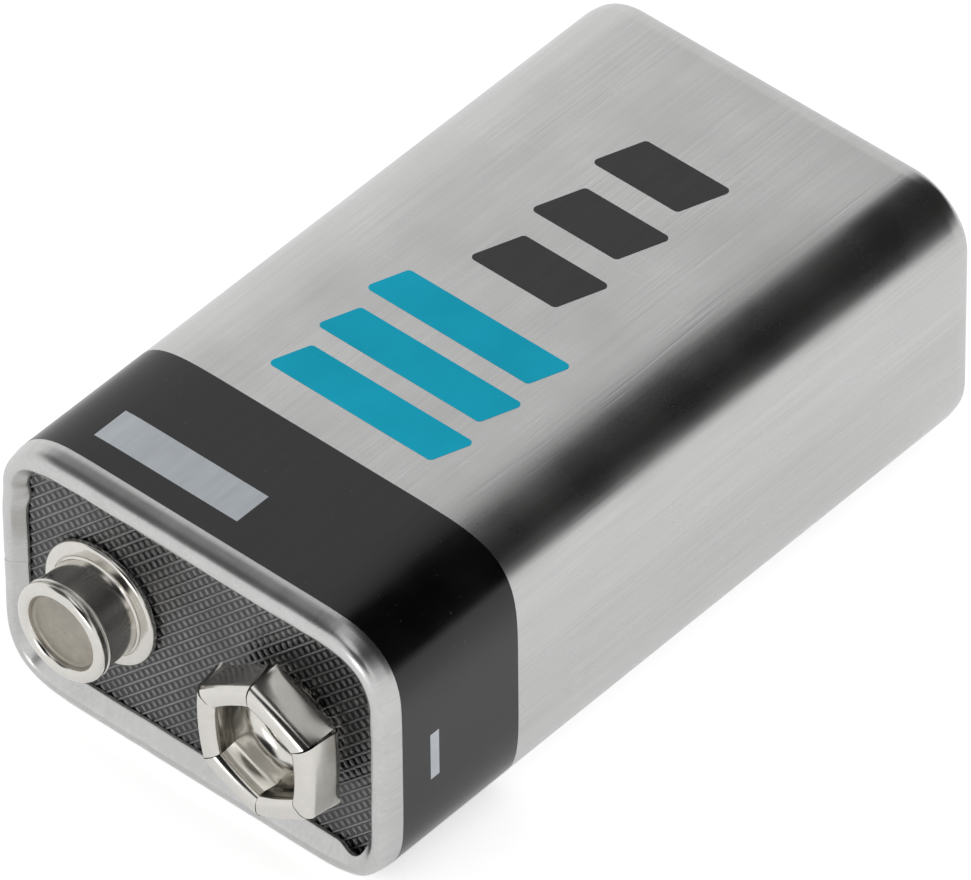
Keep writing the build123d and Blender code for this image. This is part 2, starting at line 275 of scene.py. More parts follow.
@dataclass(frozen=True)
class Lacquer(Finish):
    """Printed lacquer: a smooth film with a little orange peel, dust specks and worn spots."""

    sheen_tone: Colour = (0.05, 0.05, 0.055)
    metallic: float = 0.0
    gloss: float = 0.5

    def paint(self, surface: Surface) -> None:
        """Add the film's clouds, specks and peel.

        Args:
            surface: The material under construction.
        """
        surface.set("Metallic", self.metallic)
        surface.set("Specular IOR Level", self.gloss)
        cloud = surface.noise(260.0, 3.0)
        peel = surface.sum(surface.noise((2600.0, 300.0, 2600.0)), cloud)
        speck = surface.levels(surface.noise(4200.0, 0.0), 0.82, 0.86, (0.0, 0.4))
        body = surface.blend(surface.levels(cloud, 0.35, 0.7), self.tone, self.shade(1.12, 0.003))
        surface.set("Base Color", surface.blend(speck, body, self.sheen_tone))
        surface.set("Roughness", surface.levels(peel, 0.7, 1.3, self.rough(0.85, 1.2)))
        surface.bump(peel, 0.0016)


@dataclass(frozen=True)
class MouldedBlack(Finish):
    """Dark pressed or moulded board with a fine grain, paler on the raised relief: partly rub wear and partly
    painted highlight on the ridges.
    """

    # Tone of the raised parts: rub wear and painted highlight.
    raised_wear_and_highlight_tone: Colour = (0.03, 0.03, 0.03)
    relief: Flat = (0.0, 1.0)
    grain_depth: float = 0.006
    gleam: float = 0.0

    def paint(self, surface: Surface) -> None:
        """Add the grain, and a paler tone on the raised parts, which are read off their place along the
        battery: rub wear and painted highlight.

        Args:
            surface: The material under construction.
        """
        along = surface.add("ShaderNodeSeparateXYZ", {0: surface.place}).outputs[1]
        raised = surface.levels(along, self.relief[0] * MM, self.relief[1] * MM)
        patch = surface.noise(420.0, 4.0)
        # Paler raised parts: partly rub wear, partly painted highlight on the ridges.
        wear_and_highlight_mask = surface.times(raised, surface.levels(patch, 0.3, 0.7, (0.55, 1.0)))
        body = surface.blend(surface.levels(patch, 0.3, 0.7), self.tone, self.shade(1.25))
        surface.set("Base Color", surface.blend(wear_and_highlight_mask, body, self.raised_wear_and_highlight_tone))
        surface.set("Roughness", surface.levels(patch, 0.3, 0.75, self.rough(0.85, 1.2)))
        # The metallic share makes the paler raised parts mirror more, which adds to the painted highlight.
        if self.gleam:
            surface.set("Metallic", surface.times(wear_and_highlight_mask, self.gleam))
        surface.bump(surface.noise(9000.0), self.grain_depth)


@dataclass(frozen=True)
class Fibre(Finish):
    """Paper card or thin film: mottled, with short fibres."""

    fibre: float = 0.25

    def paint(self, surface: Surface) -> None:
        """Add the fibres and the mottling.

        Args:
            surface: The material under construction.
        """
        strands = surface.noise((900.0, 4200.0, 1500.0), 3.0, (20, 0, 35))
        mottle = surface.levels(surface.sum(strands, surface.noise(700.0, 4.0)), 0.7, 1.3)
        surface.set("Base Color", surface.blend(mottle, self.shade(1 - self.fibre), self.tone))
        surface.bump(strands, 0.01)


@dataclass
class Finishes:
    """Every finish on the battery, and the materials made from them."""

    tin: BareMetal = BareMetal("tin_jacket", Slot.TIN, (0.60, 0.60, 0.595), 0.27, Grain.ALONG, depth=0.002)
    black: Lacquer = Lacquer("black_lacquer", Slot.BLACK, (0.0015, 0.0015, 0.002), 0.20, gloss=0.45)
    pale: Lacquer = Lacquer("silver_window", Slot.PALE, (0.47, 0.50, 0.53), 0.34, (0.6, 0.6, 0.6), 0.85)
    cyan: Lacquer = Lacquer("cyan_lacquer", Slot.CYAN, (0.001, 0.40, 0.58), 0.40, (0.05, 0.5, 0.66),
                            gloss=0.1)
    dark: Lacquer = Lacquer("dark_lacquer", Slot.DARK, (0.006, 0.006, 0.008), 0.28)
    # The board's paler, metallic raised tone is partly painted highlight on the ridges.
    board: MouldedBlack = MouldedBlack("embossed_board", Slot.BOARD, (0.007, 0.007, 0.0075), 0.17,
                                       (0.30, 0.30, 0.302), (-20.008, -20.048), gleam=0.95)
    plastic: MouldedBlack = MouldedBlack("moulded_base", Slot.PLASTIC, (0.022, 0.022, 0.023), 0.45,
                                         (0.03, 0.03, 0.031), (22.3, 22.6), 0.02)
    nickel: BareMetal = BareMetal("nickel_plate", Slot.NICKEL, (0.70, 0.68, 0.64), 0.15, streak=0.03,
                                  scratch=0.2, depth=0.0002)
    # Darker and browner than the stud's nickel: matt, and partly painted shade of the recess in the head.
    matt_shaded_nickel: BareMetal = BareMetal("matt_nickel_painted_shade", Slot.NICKEL, (0.42, 0.39, 0.34), 0.45, streak=0.10,
                                       depth=0.004)
    # Paler than the other nickel partly as painted highlight: the bright spot on the socket's floor.
    rivet: BareMetal = BareMetal("rivet_nickel_painted_highlight", Slot.NICKEL, (0.86, 0.85, 0.82), 0.34, streak=0.04,
                                 depth=0.0006)
    strap: BareMetal = BareMetal("strap_nickel", Slot.STRAP, (0.66, 0.64, 0.60), 0.30, Grain.ACROSS)
    can: BareMetal = BareMetal("cell_can", Slot.CAN, (0.60, 0.60, 0.60), 0.34, Grain.ALONG)
    card: Fibre = Fibre("grey_card", Slot.CARD, (0.35, 0.29, 0.20), 0.85)
    film: Fibre = Fibre("liner_film", Slot.FILM, (0.75, 0.76, 0.74), 0.45, 0.08)
    made: dict[str, bpy.types.Material] = field(default_factory=dict)

    def get(self, finish: Finish) -> bpy.types.Material:
        """The material of a finish, made the first time it is asked for.

        Args:
            finish: One of the finishes.

        Returns:
            Its material.
        """
        if finish.name not in self.made:
            self.made[finish.name] = finish.material()
        return self.made[finish.name]


@dataclass
class SubAssembly:
    """What every group of pieces shares: its finishes and how a mesh becomes a piece."""

    finishes: Finishes

    def piece(self, name: str, points: Iterable[Sequence[float]], faces: Faces, finish: Finish,
              nodes: Sequence[str], sharp: float = 35.0) -> None:
        """Make one piece of the battery, riding on its one body.

        Args:
            name: Name of the piece.
            points: Vertices in the battery's frame, in millimetres.
            faces: Vertex numbers of each face.
            finish: The finish that it wears.
            nodes: Solids of the frame that it stands for.
            sharp: Angle in degrees above which an edge shades sharp.
        """
        mesh = bpy.data.meshes.new(name)
        mesh.from_pydata([Vector(point) * MM for point in points], [], faces)
        mesh.validate()
        mesh.shade_smooth()
        mesh.set_sharp_from_angle(angle=math.radians(sharp))
        mesh.materials.append(self.finishes.get(finish))
        made = bpy.data.objects.new(name, mesh)
        bpy.context.collection.objects.link(made)
        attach(made, "root")
        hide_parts(*nodes)
        log.info("%s: %d faces, stands for %s", name, len(mesh.polygons), ", ".join(nodes))


def swell(distance: float, size: Flat) -> float:
    """Smooth bump, as high as the size's first number at no distance and about 0 beyond twice its second."""
    return size[0] * math.exp(-((distance / size[1]) ** 2))


def smooth_path(corners: Sequence[Corner], turn_step: float = 9.0, steps: int = 0,
                closed: bool = False) -> list[Flat]:
    """Path through (x, y, corner radius) corners with finely stepped roundings.

    Args:
        corners: Corners in order; a radius of 0 keeps a corner.
        turn_step: Largest turn between two points, in degrees.
        steps: Steps in every rounding, whatever its turn; 0 leaves them to the turn.
        closed: Whether the path runs back to its start.

    Returns:
        Points of the path.
    """
    points: list[Flat] = []
    total = len(corners)
    for i, (x, y, radius) in enumerate(corners):
        if radius == 0 or not closed and i in (0, total - 1):
            points.append((x, y))
            continue
        here = Vector((x, y))
        back, ahead = ((Vector(corners[j % total][:2]) - here).normalized() for j in (i - 1, i + 1))
        half = back.angle(ahead) / 2
        centre = here + (back + ahead).normalized() * (radius / math.sin(half))
        start = here + back * (radius / math.tan(half)) - centre
        turn = math.copysign(math.pi - 2 * half, ahead.x * back.y - ahead.y * back.x)
        count = steps or max(2, math.ceil(math.degrees(abs(turn)) / turn_step))
        spokes = [Matrix.Rotation(turn * k / count, 2) @ start for k in range(count + 1)]
        points += [(centre.x + spoke.x, centre.y + spoke.y) for spoke in spokes]
    return points


def spread_points(path: list[Flat], count: int) -> list[Flat]:
    """Path with a given number of points, close together where it turns.

    Args:
        path: Points of the path.
        count: Number of points wanted.

    Returns:
        Points that are evenly spread by length and by turn.
    """
    weights = [0.0]
    heading = None
    for start, end in zip(path, path[1:]):
        now = math.atan2(end[1] - start[1], end[0] - start[0])
        turn = 0.0 if heading is None else abs(math.remainder(now - heading, 2 * math.pi))
        weights.append(weights[-1] + math.dist(start, end) + 0.45 * turn)
        heading = now
    points = []
    at = 0
    for i in range(count):
        goal = weights[-1] * i / (count - 1)
        while at < len(path) - 2 and weights[at + 1] < goal:
            at += 1
        share = (goal - weights[at]) / max(1e-9, weights[at + 1] - weights[at])
        share = min(1.0, max(0.0, share))
        points.append(tuple(a + (b - a) * share for a, b in zip(path[at], path[at + 1])))
    return points


def even_steps(path: list[Flat], step: float) -> list[Flat]:
    """Path with its long straight parts cut into steps.

    Args:
        path: Points of the path.
        step: Longest distance between two points.

    Returns:
        The path with points added.
    """
    points = [path[0]]
    for (x0, y0), (x1, y1) in zip(path, path[1:]):
        cuts = max(1, math.ceil(math.dist((x0, y0), (x1, y1)) / step))
        points += [(x0 + (x1 - x0) * i / cuts, y0 + (y1 - y0) * i / cuts) for i in range(1, cuts + 1)]
    return points


def ring_faces(rows: int, size: int) -> Faces:
    """Quads between neighbouring rows of closed sections.

    Args:
        rows: Number of sections.
        size: Points in each.

    Returns:
        The faces.
    """
    faces: Faces = []
    for row in range(0, (rows - 1) * size, size):
        for i in range(size):
            j = (i + 1) % size
            faces.append((row + i, row + j, row + size + j, row + size + i))
    return faces


def stack_faces(rows: int, size: int, flip: bool = False) -> Faces:
    """Faces of a closed stack of rings: the quads between them and one face at either end.

    Args:
        rows: Number of rings.
        size: Points in each ring.
        flip: Whether the rings are stacked the other way.

    Returns:
        The faces.
    """
    ring = list(range(size))
    faces = ring_faces(rows, size) + [ring[::-1], [(rows - 1) * size + i for i in ring]]
    return [face[::-1] for face in faces] if flip else faces


def sheet_faces(rows: int, size: int) -> Faces:
    """Faces of a swept sheet, whose section runs out along one side and back on the other.

    Args:
        rows: Number of sections.
        size: Points in each section.

    Returns:
        The quads between the sections and those that close both ends.
    """
    faces = ring_faces(rows, size)
    for first, flip in ((0, False), ((rows - 1) * size, True)):
        for i in range(size // 2 - 1):
            face = (first + i, first + size - 1 - i, first + size - 2 - i, first + i + 1)
            faces.append(face[::-1] if flip else face)
    return faces


def merged(parts: Iterable[Mesh]) -> Mesh:
    """Several meshes as one.

    Args:
        parts: Points and faces of each mesh.

    Returns:
        All the points, and the faces with their numbers shifted to match.
    """
    points: list[Point] = []
    faces: Faces = []
    for more, extra in parts:
        faces += [tuple(len(points) + number for number in face) for face in extra]
        points += more
    return points, faces


def drop_unused(points: list[Point], faces: Faces) -> Mesh:
    """Leave out the points that no face uses.

    Args:
        points: All the points.
        faces: Faces that use some of them.

    Returns:
        The points that are used, and the faces renumbered.
    """
    used = sorted({number for face in faces for number in face})
    renumber = {old: new for new, old in enumerate(used)}
    return [points[old] for old in used], [[renumber[number] for number in face] for face in faces]


def on_plate(radius: float, height: float, angle: float, x: float) -> Point:
    """Point at a radius, height and angle about a terminal's axis, in the battery's frame."""
    return x + radius * math.cos(angle), PLATE_FACE - height, AXIS_HEIGHT + radius * math.sin(angle)


@dataclass(frozen=True)
class Wrap:
    """The rounded rectangle that the sheet is wrapped round, followed from the seam upwards."""

    width: float = 25.4
    height: float = 16.4
    radius: float = 3.8
    seam_offset: float = -0.6
    ease_reach: float = 7.5
    ease_power: float = 4.3
    ease_front: float = -12.0
    ease_back: float = 23.0
    ease_run: float = 18.0
    least_radius: float = 0.6

    @property
    def runs(self) -> list[tuple[float, float, float, float]]:
        """Straight runs from the seam on, each followed by a quarter turn but the last.

        Returns:
            Each run's length, the x and z where it starts, and its heading in degrees.
        """
        flat_x = self.width - 2 * self.radius
        flat_z = self.height - 2 * self.radius
        low = flat_z / 2 + self.seam_offset
        half_x = self.width / 2
        return [
            (flat_z - low, -half_x, self.radius + low, 90),
            (flat_x, self.radius - half_x, self.height, 0),
            (flat_z, half_x, self.height - self.radius, -90),
            (flat_x, half_x - self.radius, 0.0, -180),
            (low, -half_x, self.radius, -270),
        ]

    @property
    def quarter(self) -> float:
        """Length of one rounded corner."""
        return math.pi * self.radius / 2

    @property
    def length(self) -> float:
        """Length once round."""
        return sum(run[0] for run in self.runs) + 4 * self.quarter

    def outside(self, travel: float) -> tuple[Flat, Flat]:
        """Place on the outside of the wrap and the direction that it faces there.

        Args:
            travel: Distance from the seam.

        Returns:
            The place and the outward direction, both as (x, z).
        """
        travel %= self.length
        for number, (run, x, z, heading) in enumerate(self.runs):
            angle = math.radians(heading)
            ahead = (math.cos(angle), math.sin(angle))
            out = (-ahead[1], ahead[0])
            if travel <= run or number == 4:
                return (x + ahead[0] * travel, z + ahead[1] * travel), out
            travel -= run
            if travel < self.quarter:
                x += ahead[0] * run - out[0] * self.radius
                z += ahead[1] * run - out[1] * self.radius
                turn = angle + math.pi / 2 - travel / self.radius
                out = (math.cos(turn), math.sin(turn))
                return (x + out[0] * self.radius, z + out[1] * self.radius), out
            travel -= self.quarter
        raise ValueError("travel is outside the wrap")

    def at(self, travel: float, depth: float = 0.0) -> Flat:
        """Place as (x, z) at a distance from the seam and a depth below the outside."""
        (x, z), out = self.outside(travel)
        return x - out[0] * depth, z - out[1] * depth

    def ease(self, travel: float) -> float:
        """How far the drawn sheet falls short of the plain rounded corner at a place.

        Args:
            travel: Distance from the seam.

        Returns:
            The depth, 0 away from the corners.
        """
        (x, z), out = self.outside(travel)
        reach = self.ease_reach
        side = reach - self.width / 2 + abs(x)
        rise = reach - self.height / 2 + abs(z - self.height / 2)
        if side <= 0 or rise <= 0:
            return 0.0
        low, high = 0.0, 0.5
        for _ in range(24):
            drop = (low + high) / 2
            over = (max(0.0, side - abs(out[0]) * drop) / reach) ** self.ease_power
            over += (max(0.0, rise - abs(out[1]) * drop) / reach) ** self.ease_power
            if over > 1:
                low = drop
            else:
                high = drop
        return low

    def ease_share(self, y: float) -> float:
        """How much of that easing is there at a place along the battery: none at the crimped base.

        Args:
            y: The place.

        Returns:
            The share, 0 to 1.
        """
        if y > 0:
            return 1 - min(1.0, y / self.ease_back) ** 1.5
        return min(1.0, 1 - (self.ease_front - y) / self.ease_run)

    def on_top(self, x: float) -> float:
        """Distance from the seam of a place on the upper broad face."""
        return self.runs[0][0] + self.quarter + x + self.width / 2 - self.radius

    def on_right(self, z: float) -> float:
        """Distance from the seam of a place on the negative narrow side."""
        return self.runs[0][0] + 2 * self.quarter + self.runs[1][0] + self.height - self.radius - z

    def on_left(self, z: float) -> float:
        """Distance from the seam of a place on the positive narrow side, above or below the seam."""
        return (z - self.height / 2 - self.seam_offset) % self.length

    def stations(self, gap: float, step: float, extra: Sequence[float] = ()) -> list[float]:
        """Distances from the seam at which a ring gets points.

        Args:
            gap: Half the width of the open seam.
            step: Longest distance between two stations.
            extra: Distances that have to be among them.

        Returns:
            The distances in rising order, from one side of the seam to the other.
        """
        count = math.ceil((self.length - 2 * gap) / step)
        even = [gap + (self.length - 2 * gap) * i / count for i in range(count + 1)]
        kept = [place for place in even if all(abs(place - other) > step * 0.3 for other in extra)]
        return sorted({*kept, even[0], even[-1], *extra})

    def outline(self, depth: float, steps: int) -> list[Flat]:
        """Rounded rectangle at a depth inside the wrap.

        Args:
            depth: Distance below the outside.
            steps: Steps in each corner.

        Returns:
            Its points as (x, z).
        """
        half_x, half_z = self.width / 2 - depth, self.height / 2 - depth
        low, high = self.height / 2 - half_z, self.height / 2 + half_z
        places = ((-half_x, low), (half_x, low), (half_x, high), (-half_x, high))
        radius = max(self.least_radius, self.radius - depth)
        return smooth_path([(x, z, radius) for x, z in places], steps=steps, closed=True)


@dataclass
class Jacket(SubAssembly):
    """Rolled tin sheet with both its ends turned in over the end plates."""

    wrap: Wrap = Wrap()
    wall: float = 0.25
    skin: float = 0.012
    rim_y: float = -20.9
    base_y: float = 23.4
    straight: float = 0.6
    narrow_rim: float = 1.40
    broad_rim: float = 1.78
    base_rim: float = 1.6
    narrow_from: float = 0.72
    narrow_run: float = 0.26
    jut: Flat = (0.24, 0.7)
    bite: Flat = (0.16, 1.3)
    unevenness: float = 0.025
    top_pucker: Flat = (0.26, 0.9)
    low_pucker: Flat = (0.44, 1.7)
    top_pucker_x: float = 2.4
    edge_height: float = 0.16
    bend_start: float = 0.45
    bend_room: float = 0.16
    lean: float = 0.18
    crest: float = 1.0
    shoulder: float = 0.72
    seam_half_gap: float = 0.012
    seam_slant: Flat = (0.35, 1.2)
    seam_dip: Flat = (0.03, 0.5)
    ripple: float = 0.010
    step: float = 0.28
    rim_points: int = 26
    wall_points: int = 22
    seed: int = 11

    @property
    def low_right(self) -> float:
        """Distance from the seam of the place where the sheet puckers in the lower negative corner."""
        return self.wrap.on_right(self.wrap.radius) + 0.55 * self.wrap.quarter

    def rim_width(self, travel: float) -> float:
        """Width of the turned-in rim, wider along the broad faces and jutting in at one corner.

        Args:
            travel: Distance from the seam.

        Returns:
            The width.
        """
        x, _ = self.wrap.at(travel)
        upright = abs(x) / (self.wrap.width / 2)
        share = min(1.0, max(0.0, (upright - self.narrow_from) / self.narrow_run))
        width = self.broad_rim + (self.narrow_rim - self.broad_rim) * share * share * (3 - 2 * share)
        corner = self.wrap.on_left(self.wrap.height - self.wrap.radius) - 0.2
        width += swell(travel - corner, self.jut) - swell(travel - self.low_right, self.bite)
        return width + self.unevenness * math.sin(travel * 1.31) * math.sin(travel * 0.57)

    def lift(self, travel: float) -> float:
        """How far the rim's free edge stands off the plate, most in two corners where the sheet puckers."""
        top_left = self.wrap.on_top(self.top_pucker_x - self.wrap.width / 2)
        return swell(travel - top_left, self.top_pucker) + swell(travel - self.low_right, self.low_pucker)

    def rim(self, width: float, height: float, lift: float, inner: bool) -> list[Flat]:
        """One side of the turned-in rim as (depth, height over the plate), from the wall to the free edge.

        Args:
            width: How far the rim reaches in.
            height: How high it stands over the plate.
            lift: How far its free edge stands off the plate.
            inner: Whether this is the side towards the plate.

        Returns:
            The same number of points for every rim.
        """
        edge = self.edge_height + lift
        start = -self.bend_start
        sheet = self.wall if inner else self.skin
        over = height - self.wall if inner else height
        crest = self.crest - (self.broad_rim - width) / 2
        bend = min(self.shoulder, (crest - self.lean - self.bend_room) * 1.16)
        bend -= self.wall if inner else 0.0
        corners = [(sheet, start, 0), (sheet, start + 0.15, 0.9), (sheet + self.lean, over, bend)]
        if inner:
            corners += [(crest, over, 0.2), (width - 0.06, max(0.01, edge - self.wall), 0)]
        else:
            corners += [(crest, over, 0.3), (width - 0.02, edge, 0.03), (width, edge - 0.14, 0)]
        return spread_points(smooth_path(corners, steps=9), self.rim_points)

    def section(self, travel: float) -> list[Flat]:
        """Section of the sheet as (depth, y), out along its outside and back along its inside.

        Args:
            travel: Distance from the seam.

        Returns:
            The section.
        """
        width, lift = self.rim_width(travel), self.lift(travel)
        first, last = PLATE_FACE + self.straight, BASE_FACE - self.straight
        rows = [first + (last - first) * i / (self.wall_points - 1) for i in range(self.wall_points)]
        sides = []
        for inner in (False, True):
            depth = self.wall if inner else self.skin
            front = [(d, PLATE_FACE - h) for d, h in self.rim(width, PLATE_FACE - self.rim_y, lift, inner)]
            base = self.rim(self.base_rim, self.base_y - BASE_FACE, 0.0, inner)
            sides.append(front[::-1] + [(depth, y) for y in rows] + [(d, BASE_FACE + h) for d, h in base])
        return sides[0] + sides[1][::-1]

    def build(self) -> None:
        """Build the jacket: one closed piece, open along the seam by a hair."""
        stations = self.wrap.stations(self.seam_half_gap, self.step)
        points: list[Point] = []
        wobble = random.Random(self.seed)
        phases = [wobble.uniform(0, 6.28) for _ in range(2)]
        for travel in stations:
            from_seam = min(travel, self.wrap.length - travel)
            ease = self.wrap.ease(travel)
            for depth, y in self.section(travel):
                past = max(0.0, PLATE_FACE - y) / (PLATE_FACE - self.rim_y)
                slant = past * (0.1 + depth) * swell(from_seam, self.seam_slant)
                depth += swell(travel, self.seam_dip)
                wave = math.sin(travel * 0.9 + phases[0]) + math.sin(travel * 2.3 + phases[1])
                x, z = self.wrap.at(travel + slant, depth + ease * self.wrap.ease_share(y))
                points.append((x, y + max(0.0, self.ripple * past * wave), z))
        faces = sheet_faces(len(stations), len(points) // len(stations))
        self.piece("jacket_sheet", points, faces, self.finishes.tin, ["jacket"], 38.0)


@dataclass(frozen=True)
class BarRow:
    """One row of printed bars: piece, solid, size across and along the battery, and where each bar starts."""

    name: str
    node: str
    width: float
    length: float
    starts: tuple[float, ...]


@dataclass
class Print(SubAssembly):
    """Printed films on the jacket: the band, its window and marks, and plain bars."""

    wrap: Wrap = Wrap()
    film: float = 0.012
    band: Flat = (-19.45, -11.0)
    window: Area = ((-8.7, 0.7), (-17.95, -15.65))
    mark: float = 3.0
    mark_width: float = 0.63
    mark_y: float = -17.45
    minus_z: float = 7.7
    plus_z: float = 11.6
    seam_half_gap: float = 0.05
    step: float = 0.45
    rows: tuple[float, ...] = (-18.6, -14.4, -13.2, -12.1)
    slant: float = 20.0
    bar_corner: float = 0.28
    cyan_row: BarRow = BarRow("cyan_bar_film", "cyan_bars", 11.6, 2.4, (-8.6, -5.0, -1.4))
    dark_row: BarRow = BarRow("dark_bar_film", "dark_bars", 6.8, 3.0, (3.6, 8.2, 12.8))

    def marks(self) -> list[tuple[str, str, list[Area]]]:
        """Areas of the window and the marks.

        Returns:
            Each film's name, its solid and its rectangles as (range round the wrap, range along y).
        """
        (x0, x1), window_y = self.window
        arm = self.mark_width / 2
        half = self.mark / 2
        middle = self.mark_y + arm
        bar = (middle - arm, middle + arm)
        low = self.wrap.on_left(self.plus_z - half)
        upright = ((low + half - arm, low + half + arm), (middle - half, middle + half))
        minus = (self.wrap.on_right(self.minus_z + half), self.wrap.on_right(self.minus_z - half))
        return [
            ("window_film", "blank_panel", [((self.wrap.on_top(x0), self.wrap.on_top(x1)), window_y)]),
            ("minus_film", "minus_mark", [(minus, bar)]),
            ("plus_film", "plus_mark", [((low, low + self.mark), bar), upright]),
        ]

    def film_mesh(self, inside: Callable[[float, float], bool], stations: list[float],
                  rows: list[float]) -> Mesh:
        """Closed film over the cells of a grid that lie inside an area.

        Args:
            inside: Says whether the middle of a cell is printed.
            stations: Distances round the wrap.
            rows: Places along y.

        Returns:
            The film's points and faces.
        """
        count = len(rows)
        outer = [self.place(travel, y, 0.0) for travel in stations for y in rows]
        inner = [self.place(travel, y, self.film) for travel in stations for y in rows]
        shift = len(outer)
        printed = set()
        for i in range(len(stations) - 1):
            for j in range(count - 1):
                if inside((stations[i] + stations[i + 1]) / 2, (rows[j] + rows[j + 1]) / 2):
                    printed.add((i, j))
        faces: Faces = []
        for i, j in sorted(printed):
            a, b = i * count + j, i * count + j + 1
            c, d = b + count, a + count
            faces += [(a, b, c, d), (d + shift, c + shift, b + shift, a + shift)]
            edges = (((i, j - 1), d, a), ((i, j + 1), b, c), ((i - 1, j), a, b), ((i + 1, j), c, d))
            faces += [(second, first, first + shift, second + shift)
                      for near, first, second in edges if near not in printed]
        return drop_unused(outer + inner, faces)

    def place(self, travel: float, y: float, depth: float) -> Point:
        """Point on the wrap as (x, y, z)."""
        x, z = self.wrap.at(travel, depth + self.wrap.ease(travel) * self.wrap.ease_share(y))
        return x, y, z

    def build(self) -> None:
        """Build every film: the band, the window, the marks and the bars."""
        marks = self.marks()
        spans = [area for _, _, group in marks for area in group]
        rows = sorted({*self.band, *self.rows, *(edge for _, span in spans for edge in span)})
        edges = [edge for span, _ in spans for edge in span]
        stations = self.wrap.stations(self.seam_half_gap, self.step, edges)

        def covered(group: list[Area]) -> Callable[[float, float], bool]:
            """Test whether a place lies in one of the rectangles."""
            return lambda s, y: any(a < s < b and c < y < d for (a, b), (c, d) in group)

        taken = covered(spans)
        low, high = self.band
        band = self.film_mesh(lambda s, y: low < y < high and not taken(s, y), stations, rows)
        self.piece("band_film", *band, self.finishes.black, ["black_band"])
        for name, node, group in marks:
            self.piece(name, *self.film_mesh(covered(group), stations, rows), self.finishes.pale, [node])
        self.bars(self.cyan_row, self.finishes.cyan)
        self.bars(self.dark_row, self.finishes.dark)

    def bars(self, row: BarRow, finish: Lacquer) -> None:
        """Build a row of slanted bars with softly rounded corners.

        Args:
            row: Their sizes and places.
            finish: Their lacquer.
        """
        lean = row.length * math.tan(math.radians(self.slant))
        half = row.width / 2
        places = ((-half, 0.0), (half - lean, 0.0), (half, row.length), (lean - half, row.length))
        outline = smooth_path([(x, y, self.bar_corner) for x, y in places], steps=5, closed=True)
        faces = stack_faces(2, len(outline), flip=True)
        top = self.wrap.height
        bars = [([(x, start + y, z) for z in (top, top - self.film) for x, y in outline], faces)
                for start in row.starts]
        self.piece(row.name, *merged(bars), finish, [row.node])


